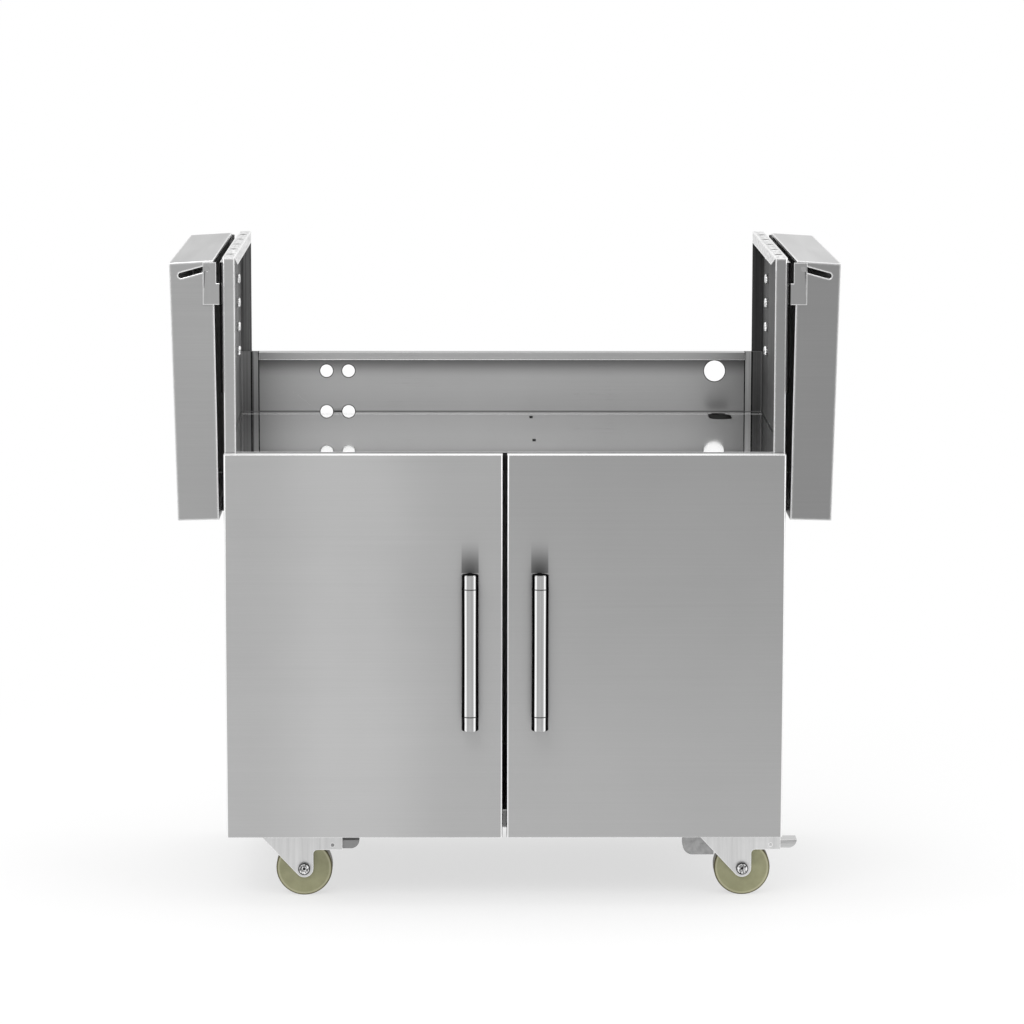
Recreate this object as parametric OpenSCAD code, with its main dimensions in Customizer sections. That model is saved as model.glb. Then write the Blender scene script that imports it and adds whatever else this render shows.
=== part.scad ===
// Grill cart with storage: a two-door steel cabinet on swivel casters.
// Two tall side wings make an open bay for a grill head, and a fold-down
// side shelf hangs outside each wing. Front faces -Y, +X is to the right,
// the origin is on the floor under the middle of the whole cart.

/* [Cabinet] */
// Width over the two side panels
body_w = 785; // [600:5:1000]
// Depth of the side panels, front flange to rear flange
body_d = 460; // [380:5:620]
// Height of the deck above the floor
deck_z = 644.5; // [560:0.5:760]
// Height of the side wings above the deck
wing_h = 271.5; // [240:0.5:340]
// Thickness of the stainless sheet
sheet = 1.2; // [0.8:0.1:1.6]
// Outer radius of a sheet bend
bend_r = 2.4; // [2:0.2:4]
// Width of the front flange of a side panel
front_flange_w = 17; // [17:1:26]
// Width of the rear flange of a side panel
rear_flange_w = 17; // [10:1:26]
// Width of the top flange of a wing
top_flange_w = 17; // [14:1:26]
// Height of the lip under the inner edge of the top flange
top_lip_h = 17; // [6:1:20]
// Length of that lip's slanted front end
lip_taper = 90; // [10:5:150]
// Diameter of the fixing holes in the top flanges
top_hole_d = 6; // [4:0.5:8]
// Number of fixing holes in each top flange
top_hole_count = 5; // [2:1:7]
// Spacing of the fixing holes along a top flange
top_hole_pitch = 84; // [40:1:88]
// Height of the lip at the front of the deck
deck_lip_h = 12; // [8:1:20]
// Height and depth of the rail under the front of the deck
front_rail_h = 25; // [18:1:32]
// Height of the base channels under the cabinet floor
channel_h = 25; // [18:1:40]
// Width of a base channel
channel_w = 104; // [100:2:130]
// Thickness of the base channels
channel_t = 2; // [1.5:0.5:3]

/* [Back panel] */
// Height of the back panel above the deck
back_h = 91.5; // [70:0.5:140]
// Depth of the folded rail along the top of the back panel
back_rail_d = 22; // [12:1:40]
// Height of the front lip of that rail
back_rail_h = 11; // [6:1:16]
// Width of the upright corner angles across the back panel
corner_w = 27; // [16:1:34]
// Width of their legs along the side panels
corner_leg = 14; // [10:1:24]
// Diameter of the four small hose holes
small_hole_d = 19; // [12:1:26]
// Spacing of the two small holes in a row
small_hole_pitch = 33; // [30:1:50]
// Distance of the middle of the small holes inside the left side panel
small_hole_side = 145.5; // [122.5:0.5:242.5]
// Depth of the upper hole row below the top of the back panel
upper_row_drop = 30; // [28:1:34]
// Distance between the upper and the lower hole row
row_pitch = 61.5; // [40:0.5:62]
// Diameter of the large gas hose hole
large_hole_d = 31.5; // [20:0.5:34]
// Distance of the large hose hole inside the right side panel
large_hole_side = 72.5; // [62.5:0.5:192.5]
// Distance of the hose slot in the deck inside the right side panel
deck_slot_side = 67.5; // [62.5:0.5:192.5]
// Width of that slot
deck_slot_w = 34; // [20:1:34]
// Length of that slot, front to back
deck_slot_l = 74; // [40:1:80]
// Distance of the middle of that slot in front of the back panel
deck_slot_y = 57; // [52:1:80]
// Diameter of the rivet heads on the deck
rivet_d = 5; // [4:0.5:8]
// Distance of the rivets right of the centre line
rivet_x = 43; // [20:1:80]

/* [Doors] */
// Depth of a door
door_t = 20; // [20:1:24]
// Gap between a closed door and the cabinet
door_gap = 2.5; // [2.5:0.1:5]
// Gap between the two doors
meet_gap = 6; // [3:0.5:8]
// Distance of a door's outer edge inside the side panel
door_side_gap = 0.5; // [0.2:0.1:2]
// Depth of the doors' top edge below the deck
door_top_drop = 1.5; // [0:0.5:4]
// Distance that the doors hang below the cabinet base
door_drop = 9; // [0:1:9]
// Distance of the hinge pin from the door's outer edge
pivot_inset = 6; // [5.5:0.1:6]
// Widest opening angle of a door
door_open = 110; // [90:1:110]
// Distance of the hinges from the door's top and bottom edges
hinge_inset = 55; // [50:1:120]
// Diameter of the hinge pins
hinge_pin_d = 5; // [4:0.5:5]
// Diameter of the bar handles
handle_d = 24; // [14:1:28]
// Length of the bar handles with their end pieces
handle_l = 220; // [140:5:400]
// Length of each end piece
handle_end_l = 20; // [16:1:30]
// Finger room between a handle and its door
finger_gap = 26; // [20:1:40]
// Distance of a handle's centre from the middle of the gap between the doors
handle_x = 48.7; // [30:0.1:80]
// Diameter of the post between a handle end and the door
post_d = 13; // [10:1:16]
// Wall of the handle tube
handle_wall = 1.5; // [1:0.1:3]

/* [Side shelves] */
// Length of a shelf, root to tip
shelf_l = 361; // [250:1:380]
// Distance that a shelf overhangs the side panel at front and back
shelf_overhang = 6.5; // [4:0.5:20]
// Depth of the shelf skirt at the root
skirt_root = 62; // [62:0.5:80]
// Depth of the shelf skirt at the tip
skirt_tip = 58; // [50:0.5:64]
// Rise of the root wall from the work surface to the rim
root_rise = 2.2; // [0:0.2:3]
// Lean of the folded shelf's outer face
shelf_lean = 1.4; // [0:0.1:2]
// Drop of the folded shelf's root edge below the top of the wing
shelf_drop = 5.5; // [0:0.5:20]
// Distance of the shelf pins outside the side panel
pin_out = 21; // [16:0.5:24]
// Distance of a shelf pin inside the shelf's root edge
pin_in_root = 8.5; // [6:0.5:9]
// Distance of a shelf pin inside the rim of the skirt
pin_in_rim = 9.5; // [6:0.5:10]
// Diameter of the shelf pins
shelf_pin_d = 7.6; // [6:0.1:9]
// Travel of the pin in the skirt's slot
slot_travel = 37; // [25:1:38]
// Slope of that slot
slot_slope = 14; // [8:1:16]
// Width of the lips along the shelf's rim
rim_lip_w = 12; // [8:1:20]
// Width of a bracket ear
ear_w = 23; // [18:0.5:24]
// Height of a bracket ear
ear_h = 58.5; // [30:0.5:70]
// Height of a bracket's plate on the side panel
bracket_h = 182; // [140:1:200]
// Width of a bracket's plate on the side panel
bracket_w = 128; // [60:1:180]
// Thickness of the brackets
bracket_t = 3; // [2:0.5:3]

/* [Casters] */
// Height of a caster, floor to the top of its plate
caster_h = 108; // [104:1:130]
// Diameter of the wheels
wheel_d = 80; // [70:1:80]
// Width of the wheels
wheel_w = 30; // [24:1:32]
// Distance of the axle behind the swivel axis
trail = 27.5; // [20:0.5:32]
// Diameter of the axle bolts
axle_d = 10; // [8:1:10]
// Distance of the swivel axes inside the side panels' outer faces
caster_side = 80; // [67.5:0.5:192.5]
// Distance of the swivel axes inside the side panel's front and rear edge
caster_inset = 58; // [50:1:100]
// Length of the caster plates
plate_l = 95; // [90:1:110]
// Width of the caster plates
plate_w = 68; // [60:1:80]
// Thickness of the caster plates
plate_t = 3; // [2:0.5:4]
// Thickness of the fork steel
fork_t = 2.5; // [2:0.5:3]
// Slope of the fork's sloping edge
fork_slope = 47; // [44:1:52]
// Radius of the fork's legs round the axle
fork_end_r = 13; // [11:0.5:15]
// Distance of a brake pedal's tip from the swivel axis
pedal_reach = 106; // [98:1:115]
// Width of a brake pedal
pedal_w = 27; // [20:1:27]
// Distance of the guard's front end from the swivel axis of the right front fork
guard_reach = 57; // [50:1:60]
// Height of that guard below the fork's crown
guard_h = 37; // [24:1:38]

/* [Hidden] */

$fn = 48;
// Overrun of every cut beyond the face that it leaves
over = 1;
// Radial clearance of a pin, bolt or shaft that turns in its hole
run_fit = 0.05;
// Gap between two faces that move past each other
slip = 0.3;
// Clearance of a fixed screw in its hole
screw_fit = 0.1;

// Room in front of and behind the side panels sets where the panels stand
handle_out = handle_d + finger_gap;
front_reach = door_gap + door_t + handle_out;
rear_reach = shelf_overhang + slip + bracket_t;
front_y = (front_reach - rear_reach - body_d) / 2;
rear_y = front_y + body_d;

side_x = -body_w / 2;
web_x = side_x + sheet;
// Sheets that reach into a side panel's fold stop short of its inner radius
inner_x = side_x + bend_r;
caster_x = body_w / 2 - caster_side;
small_hole_x = body_w / 2 - small_hole_side;
large_hole_x = body_w / 2 - large_hole_side;
deck_slot_x = body_w / 2 - deck_slot_side;
base_z = caster_h;
wing_top = deck_z + wing_h;
back_top = deck_z + back_h;
back_y = rear_y - 2 * sheet;
deck_y = front_y + sheet;

// Doors
door_front = front_y - door_gap - door_t;
door_back = front_y - door_gap;
door_x0 = side_x + door_side_gap;
door_x1 = -meet_gap / 2;
door_z0 = base_z - door_drop;
door_z1 = deck_z - door_top_drop;
door_mid_z = (door_z0 + door_z1) / 2;
door_r = bend_r;
pivot_x = door_x0 + pivot_inset;
pivot_y = door_back - door_t / 2;

// Handles
handle_y = door_front - finger_gap - handle_d / 2;
handle_z0 = door_mid_z - handle_l / 2;
handle_z1 = door_mid_z + handle_l / 2;
handle_post_zs = [handle_z0 + handle_end_l / 2, handle_z1 - handle_end_l / 2];
handle_screw_d = 5;
handle_screw_head_d = 10;
handle_screw_head_h = 3;
handle_screw_l = 14;
handle_plug_l = 8;
handle_edge = 1;

// Hinges: a tongue through the front flange carries an upright pin,
// and a bored block inside the door sits on it
tongue_t = 3;
tongue_w = 8;
hinge_plate_t = 3;
hinge_plate_h = 32;
hinge_block_h = 12;
pin_stand = 10;
hinge_zs = [door_z0 + hinge_inset, door_z1 - hinge_inset];
hinge_plate_x0 = side_x + bend_r;
hinge_plate_x1 = side_x + front_flange_w - sheet;
hinge_screw_d = 4;
hinge_screw_pitch = 20;
hinge_screw_head_d = 7;
hinge_screw_head_h = 0.5;
hinge_screw_x = (hinge_plate_x0 + hinge_plate_x1) / 2;
// How far the tongue reaches towards the door's front face when the door is open
tongue_swing = max(0, door_open - 90);
tongue_front = pivot_inset * tan(tongue_swing) + tongue_w / 2 / cos(tongue_swing);

// Magnetic catches
catch_w = 46;
catch_h = 15;
catch_d = 34;
strike_t = 1;
catch_x = 60;
rail_z0 = deck_z - sheet - front_rail_h;

// Deck stiffener: a hat channel under the rivets
hat_w = 40;
hat_h = 14;
hat_brim = 12;
hat_end_gap = 30;
rivet_h = 1.6;
// Places of the rivets as shares of the cabinet's depth
rivet_shares = [0.28, 0.85];
rivet_ys = [for (share = rivet_shares) front_y + share * body_d];
rail_x0 = web_x + corner_w + slip;
notch_w = small_hole_pitch + small_hole_d + sheet;
notch_d = 10;
lower_row_z = back_top - upper_row_drop - row_pitch;
upper_row_z = back_top - upper_row_drop;

// Shelves
pin_x = side_x - pin_out;
pin_z = wing_top - shelf_drop - pin_in_root;
skirt_y0 = front_y - shelf_overhang;
skirt_y1 = rear_y + shelf_overhang;
pin_w = skirt_root - pin_in_rim;
shelf_slot_r = shelf_pin_d / 2 + run_fit;
rib_w = 44;
rib_h = 16;
rib_brim = 12;
rib_margin = 24;
ear_gap = 3.5;
ear_relief_h = 29;
ear_relief_w = 4.5;
screw_d = 6;
screw_head_d = 14;
screw_head_h = 5;
screw_head_r = screw_head_h / 2;
screw_count = 5;
// Distance of the bracket screws inside the upper, lower and inner edge of the plate
screw_edge = 20;
screw_pitch = (bracket_h - 2 * screw_edge) / (screw_count - 1);
screw_inset = bracket_w - screw_edge;
bumper_d = 20;
bumper_rise = 12;
bumper_inset = 70;
bumper_u = shelf_l - bumper_rise;
// Place across the cart of the folded shelf's rim at the distance u from its root
function rim_x(u) = pin_x
    + (skirt_root - (skirt_root - skirt_tip) * (u + root_rise) / (shelf_l + root_rise) - pin_w)
    * cos(shelf_lean)
    + (u - pin_in_root) * sin(shelf_lean);
// The bumpers end just short of the rim
bumper_x = max(rim_x(bumper_u - bumper_d / 2), rim_x(bumper_u + bumper_d / 2)) + slip;

// Casters
fork_gap = 2;
fork_in = wheel_w / 2 + fork_gap;
fork_out = fork_in + fork_t;
axle_z = wheel_d / 2;
plate_z = caster_h - plate_t;
race_d = 46;
race_h = 7;
crown_top = plate_z - race_h - slip;
crown_z = crown_top - fork_t;
crown_fillet = 6;
arch_rise = 27;
arch_z = axle_z + arch_rise;
fork_front_x = 50;
housing_x = 82;
kingpin_d = 10;
kingpin_head_d = 18;
kingpin_head_h = 4;
wheel_edge_r = 3;
hub_r = 14;
hub_w = 2 * (fork_in - slip);
axle_head_d = 17;
axle_head_h = 6;
axle_socket_d = 8;
axle_socket_h = 3;
plate_bolt_d = 8;
plate_bolt_x = 75;
plate_bolt_y = 46;
plate_bolt_head_d = 14;
plate_bolt_head_h = 4.5;
plate_nut_h = 6;
plate_corner_r = 8;
pedal_pivot_x = 68;
pedal_pin_d = 5;
pedal_x0 = 60;
pedal_h = 12;
pedal_room = 15.2;
pedal_z1 = crown_z - pedal_room;
pedal_pivot_z = pedal_z1 - pedal_h / 2;
// Pressed guard under the crown of the right front fork
guard_x1 = -13;
guard_d = 24;
guard_r = 14;
swivel_spots = [
    [-caster_x, front_y + caster_inset], [caster_x, front_y + caster_inset],
    [-caster_x, rear_y - caster_inset], [caster_x, rear_y - caster_inset],
];

// Box between two corners
module box(lo, hi) {
    translate(lo) cube(hi - lo);
}

// Left-hand pieces are drawn in place, and right-hand ones are their mirror image
module hand(right) {
    mirror([right ? 1 : 0, 0, 0]) children();
}

// Outline with its two edge corners rounded: x 0 to w, y 0 to l, round at x = 0
module bent_outline(w, l, r) {
    translate([r, 0]) square([w - r, l]);
    translate([0, r]) square([2 * r, l - 2 * r]);
    for (y = [r, l - r]) translate([r, y]) circle(r);
}

// Folded channel in plan: a web along Y with a flange at each end towards +X
module bent_channel(l, flange_0, flange_1) {
    difference() {
        bent_outline(max(flange_0, flange_1), l, bend_r);
        translate([sheet, sheet])
            bent_outline(max(flange_0, flange_1) + over, l - 2 * sheet, bend_r - sheet);
        translate([flange_0, -over]) square([flange_1 + over, sheet + 2 * over]);
        translate([flange_1, l - sheet - over]) square([flange_0 + over, sheet + 2 * over]);
    }
}

// Shallow sheet pan with its open side towards +Y: x 0 to w, y 0 to d, z 0 to h
module pan(w, d, h, r) {
    difference() {
        linear_extrude(h) mirror([1, -1]) bent_outline(d, w, r);
        translate([0, 0, sheet]) linear_extrude(h - 2 * sheet)
            translate([sheet, sheet]) mirror([1, -1])
                bent_outline(d, w - 2 * sheet, r - sheet);
    }
}

// Cylinder along Y from y0 to y1
module rod_y(x, z, d, y0, y1) {
    translate([x, y0, z]) rotate([-90, 0, 0]) cylinder(d = d, h = y1 - y0);
}

// Cylinder along X from x0 to x1
module rod_x(y, z, d, x0, x1) {
    translate([x0, y, z]) rotate([0, 90, 0]) cylinder(d = d, h = x1 - x0);
}

// Cylinder along Z from z0 to z1
module rod_z(x, y, d, z0, z1) {
    translate([x, y, z0]) cylinder(d = d, h = z1 - z0);
}

// Places of the bracket screws: y and z on the side panel
function screw_y(rear) = rear ? rear_y - screw_inset : front_y + screw_inset;
function screw_z(i) = wing_top - shelf_drop - screw_edge - i * screw_pitch;

module at_bracket_screws() {
    for (rear = [0, 1]) for (i = [0 : screw_count - 1])
        translate([0, screw_y(rear), screw_z(i)]) children();
}

module side_panel() {
    color("silver") difference() {
        union() {
            translate([side_x, front_y, base_z]) linear_extrude(wing_top - base_z)
                bent_channel(body_d, front_flange_w, rear_flange_w);
            // top flange and its lip
            translate([side_x, front_y, wing_top - sheet]) linear_extrude(sheet)
                bent_outline(top_flange_w, body_d, bend_r);
            translate([side_x + top_flange_w - sheet, 0, 0]) rotate([90, 0, 90])
                linear_extrude(sheet) polygon([[front_y + sheet, wing_top],
                    [front_y + sheet + lip_taper, wing_top - top_lip_h],
                    [rear_y - sheet, wing_top - top_lip_h], [rear_y - sheet, wing_top]]);
        }
        for (i = [0 : top_hole_count - 1])
            rod_z(side_x + top_flange_w / 2, front_y + body_d / 2
                + (i - (top_hole_count - 1) / 2) * top_hole_pitch,
                top_hole_d, wing_top - sheet - over, wing_top + over);
        at_bracket_screws() rod_x(0, 0, screw_d + 2 * screw_fit, side_x - over, web_x + over);
        for (z = hinge_zs) {
            box([pivot_x - tongue_w / 2 - slip, front_y - over, z - slip],
                [pivot_x + tongue_w / 2 + slip, front_y + sheet + over, z + tongue_t + slip]);
            for (s = [-1, 1])
                rod_y(hinge_screw_x, z + tongue_t / 2 + s * hinge_screw_pitch / 2,
                    hinge_screw_d + 2 * screw_fit, front_y - over, front_y + sheet + over);
        }
    }
}

module hose_holes(y0, y1) {
    for (x = [-1, 1], z = [upper_row_z, lower_row_z])
        rod_y(-small_hole_x + x * small_hole_pitch / 2, z, small_hole_d, y0, y1);
    rod_y(large_hole_x, upper_row_z, large_hole_d, y0, y1);
}

module back_panel() {
    color("silver") difference() {
        union() {
            box([inner_x, back_y, base_z], [-inner_x, back_y + sheet, back_top]);
            box([rail_x0, back_y - back_rail_d, back_top - sheet], [-rail_x0, back_y, back_top]);
            box([rail_x0, back_y - back_rail_d, back_top - back_rail_h],
                [-rail_x0, back_y - back_rail_d + sheet, back_top]);
        }
        hose_holes(back_y - over, back_y + sheet + over);
    }
}

// Upright angles that tie the deck, the side panels and the back panel together
module corner_angles() {
    color("silver") for (right = [false, true]) hand(right)
        translate([web_x, back_y, deck_z]) {
            box([0, -sheet, 0], [corner_w, 0, back_h]);
            box([0, -corner_leg, 0], [sheet, 0, back_h]);
        }
}

module deck_slot(z0, z1) {
    for (s = [-1, 1])
        rod_z(deck_slot_x, back_y - deck_slot_y + s * (deck_slot_l - deck_slot_w) / 2,
            deck_slot_w, z0, z1);
    box([deck_slot_x - deck_slot_w / 2,
            back_y - deck_slot_y - (deck_slot_l - deck_slot_w) / 2, z0],
        [deck_slot_x + deck_slot_w / 2,
            back_y - deck_slot_y + (deck_slot_l - deck_slot_w) / 2, z1]);
}

module deck() {
    color("gainsboro") difference() {
        union() {
            box([inner_x, deck_y, deck_z - sheet], [-inner_x, back_y, deck_z]);
            box([inner_x, deck_y, deck_z - deck_lip_h], [-inner_x, deck_y + sheet, deck_z]);
        }
        // rear edge is notched round the lower hose holes
        box([-small_hole_x - notch_w / 2, back_y - notch_d, deck_z - sheet - over],
            [-small_hole_x + notch_w / 2, back_y + over, deck_z + over]);
        deck_slot(deck_z - sheet - over, deck_z + over);
        for (y = rivet_ys)
            rod_z(rivet_x, y, rivet_d / 2 + screw_fit, deck_z - sheet - over, deck_z + over);
    }
}

module deck_stiffener() {
    y0 = deck_y + sheet + front_rail_h + hat_end_gap;
    y1 = back_y - hat_end_gap;
    z1 = deck_z - sheet;
    color("silver") difference() {
        union() {
            // crown of the hat lies against the deck and takes the rivets
            box([rivet_x - hat_w / 2, y0, z1 - sheet], [rivet_x + hat_w / 2, y1, z1]);
            for (s = [-1, 1]) {
                wall = rivet_x + s * (hat_w - sheet) / 2;
                box([wall - sheet / 2, y0, z1 - hat_h], [wall + sheet / 2, y1, z1]);
                brim = rivet_x + s * (hat_w + hat_brim) / 2;
                box([brim - hat_brim / 2, y0, z1 - hat_h],
                    [brim + hat_brim / 2, y1, z1 - hat_h + sheet]);
            }
        }
        for (y = rivet_ys)
            rod_z(rivet_x, y, rivet_d / 2 + screw_fit, z1 - sheet - over, z1 + over);
    }
}

module deck_rivets() {
    color("gray") for (y = rivet_ys) {
        rod_z(rivet_x, y, rivet_d, deck_z, deck_z + rivet_h);
        rod_z(rivet_x, y, rivet_d / 2, deck_z - 2 * sheet, deck_z);
        rod_z(rivet_x, y, rivet_d, deck_z - 2 * sheet - rivet_h, deck_z - 2 * sheet);
    }
}

// Floor of the cabinet: a shallow tray turned upside down
module cabinet_floor() {
    color("silver") difference() {
        box([inner_x, deck_y, base_z], [-inner_x, back_y, base_z + channel_h + sheet]);
        box([inner_x + sheet, deck_y + sheet, base_z - over],
            [-inner_x - sheet, back_y - sheet, base_z + channel_h]);
    }
}

module front_rail() {
    y0 = deck_y + sheet;
    color("silver") {
        box([web_x, y0, rail_z0], [-web_x, y0 + sheet, deck_z - sheet]);
        box([web_x, y0, rail_z0], [-web_x, y0 + front_rail_h, rail_z0 + sheet]);
        box([web_x, y0, deck_z - 2 * sheet], [-web_x, y0 + front_rail_h, deck_z - sheet]);
    }
}

module base_channel() {
    y0 = deck_y + sheet;
    y1 = back_y - sheet;
    color("silver") difference() {
        box([-caster_x - channel_w / 2, y0, base_z],
            [-caster_x + channel_w / 2, y1, base_z + channel_h]);
        box([-caster_x - channel_w / 2 + channel_t, y0 - over, base_z + channel_t],
            [-caster_x + channel_w / 2 - channel_t, y1 + over, base_z + channel_h + over]);
        for (y = [front_y + caster_inset, rear_y - caster_inset])
            translate([-caster_x, y]) at_plate_bolts()
                rod_z(0, 0, plate_bolt_d + 2 * screw_fit, base_z - over, base_z + channel_t + over);
    }
}

module hinge_brackets() {
    y0 = front_y + sheet;
    color("gray") for (right = [false, true], z = hinge_zs) hand(right) difference() {
        union() {
            box([hinge_plate_x0, y0, z + tongue_t / 2 - hinge_plate_h / 2],
                [hinge_plate_x1, y0 + hinge_plate_t, z + tongue_t / 2 + hinge_plate_h / 2]);
            box([pivot_x - tongue_w / 2, pivot_y, z],
                [pivot_x + tongue_w / 2, y0 + hinge_plate_t, z + tongue_t]);
            rod_z(pivot_x, pivot_y, tongue_w, z, z + tongue_t);
        }
        rod_z(pivot_x, pivot_y, hinge_pin_d, z - over, z + tongue_t + over);
        for (s = [-1, 1])
            rod_y(hinge_screw_x, z + tongue_t / 2 + s * hinge_screw_pitch / 2,
                hinge_screw_d + 2 * screw_fit, y0 - over, y0 + hinge_plate_t + over);
    }
}

module hinge_pins() {
    color("dimgray") for (right = [false, true], z = hinge_zs) hand(right)
        rod_z(pivot_x, pivot_y, hinge_pin_d, z, z + tongue_t + pin_stand);
}

module hinge_screws() {
    color("dimgray") for (right = [false, true], z = hinge_zs, s = [-1, 1]) hand(right)
        translate([hinge_screw_x, 0, z + tongue_t / 2 + s * hinge_screw_pitch / 2]) {
            rod_y(0, 0, hinge_screw_head_d, front_y - hinge_screw_head_h, front_y);
            rod_y(0, 0, hinge_screw_d, front_y - hinge_screw_head_h,
                front_y + sheet + hinge_plate_t);
        }
}

module magnetic_catches() {
    y0 = door_back + strike_t + slip;
    color("dimgray") for (right = [false, true]) hand(right)
        box([-catch_x - catch_w / 2, y0, rail_z0 - catch_h],
            [-catch_x + catch_w / 2, y0 + catch_d, rail_z0]);
}

// Angle brackets on the side panel: a tall plate, and an ear in front of the
// shelf's skirt, relieved at its root over the upper half
module shelf_bracket(rear) {
    y_face = rear ? skirt_y1 + slip : skirt_y0 - slip;
    y_out = rear ? y_face + bracket_t : y_face - bracket_t;
    y_end = rear ? rear_y - bracket_w : front_y + bracket_w;
    z1 = wing_top - shelf_drop;
    x_in = side_x - bracket_t;
    difference() {
        union() {
            box([x_in, min(y_out, y_end), z1 - bracket_h], [side_x, max(y_out, y_end), z1]);
            box([side_x - ear_gap - ear_w, min(y_face, y_out), z1 - ear_h],
                [side_x, max(y_face, y_out), z1]);
        }
        // relief between the ear and the bend
        box([side_x - ear_gap - ear_relief_w, min(y_face, y_out) - over, z1 - ear_relief_h],
            [side_x + over, max(y_face, y_out) + over, z1 + over]);
        // the plate starts at the panel below the ear
        box([x_in - over, min(y_face, y_out) - over, z1 - bracket_h - over],
            [side_x + over, max(y_face, y_out) + over, z1 - ear_h]);
        rod_y(pin_x, pin_z, shelf_pin_d, min(y_face, y_out) - over, max(y_face, y_out) + over);
        for (i = [0 : screw_count - 1])
            rod_x(screw_y(rear), screw_z(i), screw_d + 2 * screw_fit, x_in - over, side_x + over);
    }
}

module shelf_brackets() {
    color("silver") for (rear = [false, true]) shelf_bracket(rear);
}

module bracket_screws() {
    r = screw_head_d / 2;
    color("lightgray") for (right = [false, true]) hand(right) at_bracket_screws() {
        rod_x(0, 0, screw_d, side_x - bracket_t, web_x);
        translate([web_x, 0, 0]) rotate([0, 90, 0]) rotate_extrude() {
            square([r, screw_head_h - screw_head_r]);
            square([r - screw_head_r, screw_head_h]);
            translate([r - screw_head_r, screw_head_h - screw_head_r]) circle(screw_head_r);
        }
    }
}

module shelf_pins() {
    color("dimgray") for (right = [false, true]) hand(right) {
        rod_y(pin_x, pin_z, shelf_pin_d, skirt_y0 - slip - bracket_t, skirt_y0 + pin_in_root);
        rod_y(pin_x, pin_z, shelf_pin_d, skirt_y1 - pin_in_root, skirt_y1 + slip + bracket_t);
    }
}

module shelf_bumpers() {
    color("black") for (right = [false, true]) hand(right)
        for (y = [front_y + bumper_inset, rear_y - bumper_inset])
            rod_x(y, pin_z + pin_in_root - bumper_u, bumper_d, bumper_x, side_x);
}

module hinge_notches() {
    for (z = hinge_zs)
        box([door_x0 - over, pivot_y - tongue_front - slip, z - slip],
            [pivot_x + tongue_w / 2 + slip, door_back + over, z + tongue_t + slip]);
}

module door_skin() {
    color("silver") difference() {
        translate([door_x0, door_front, door_z0])
            pan(door_x1 - door_x0, door_t, door_z1 - door_z0, door_r);
        hinge_notches();
        for (z = handle_post_zs)
            rod_y(-handle_x, z, handle_screw_d + 2 * screw_fit, door_front - over,
                door_front + sheet + over);
    }
}

module door_liner() {
    color("gainsboro") difference() {
        box([door_x0 + sheet, door_back - sheet, door_z0 + sheet],
            [door_x1 - sheet, door_back, door_z1 - sheet]);
        hinge_notches();
    }
}

module hinge_blocks() {
    half = pivot_inset - sheet;
    color("gray") for (z = hinge_zs) difference() {
        box([pivot_x - half, door_front + door_r, z + tongue_t + slip],
            [pivot_x + half, door_back - sheet, z + tongue_t + slip + hinge_block_h]);
        rod_z(pivot_x, pivot_y, hinge_pin_d + 2 * run_fit, z, z + tongue_t + slip
            + hinge_block_h + over);
    }
}

module strike_plate() {
    color("gray") box([-catch_x - catch_w / 2, door_back, rail_z0 - catch_h],
        [-catch_x + catch_w / 2, door_back + strike_t, rail_z0]);
}

module handle_bar() {
    color("lightgray") difference() {
        rod_z(-handle_x, handle_y, handle_d, handle_z0 + handle_end_l, handle_z1 - handle_end_l);
        rod_z(-handle_x, handle_y, handle_d - 2 * handle_wall, handle_z0, handle_z1);
    }
}

// Solid end piece: a cap in line with the tube, with a plug in the tube and a post
module handle_end(top) {
    z_mid = top ? handle_post_zs[1] : handle_post_zs[0];
    flip = top ? 0 : 1;
    translate([-handle_x, handle_y, z_mid]) {
        mirror([0, 0, flip]) difference() {
            union() {
                rod_z(0, 0, handle_d, -handle_end_l / 2, handle_end_l / 2 - handle_edge);
                rod_z(0, 0, handle_d - 2 * handle_edge, 0, handle_end_l / 2);
                rod_z(0, 0, handle_d - 2 * handle_wall, -handle_end_l / 2 - handle_plug_l, 0);
                rod_y(0, 0, post_d, 0, door_front - handle_y);
            }
            rod_y(0, 0, handle_screw_d, door_front - handle_y - handle_screw_l + sheet,
                door_front - handle_y + over);
        }
    }
}

module handle_ends() {
    color("lightgray") for (top = [false, true]) handle_end(top);
}

module handle_screws() {
    color("dimgray") for (z = handle_post_zs) {
        rod_y(-handle_x, z, handle_screw_d, door_front - handle_screw_l + sheet,
            door_front + sheet);
        rod_y(-handle_x, z, handle_screw_head_d, door_front + sheet,
            door_front + sheet + handle_screw_head_h);
    }
}

// Shelf pan in its own frame: u from root to tip, w from the work surface to the rim.
// This turns that frame to the folded place on the left side.
module folded() {
    translate([pin_x, 0, pin_z]) rotate([0, -shelf_lean, 0]) multmatrix([
        [0, 0, 1, -pin_w], [0, 1, 0, 0], [-1, 0, 0, pin_in_root], [0, 0, 0, 1],
    ]) children();
}

// Side outline of the skirt, w up and u along X
module skirt_outline(inset) {
    polygon([[inset, inset], [shelf_l - inset, inset],
        [shelf_l - inset, skirt_tip], [inset - root_rise, skirt_root]]);
}

module skirt_block(inset) {
    translate([0, skirt_y1 - inset, 0]) rotate([90, 0, 0])
        linear_extrude(skirt_y1 - skirt_y0 - 2 * inset) skirt_outline(inset);
}

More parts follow.
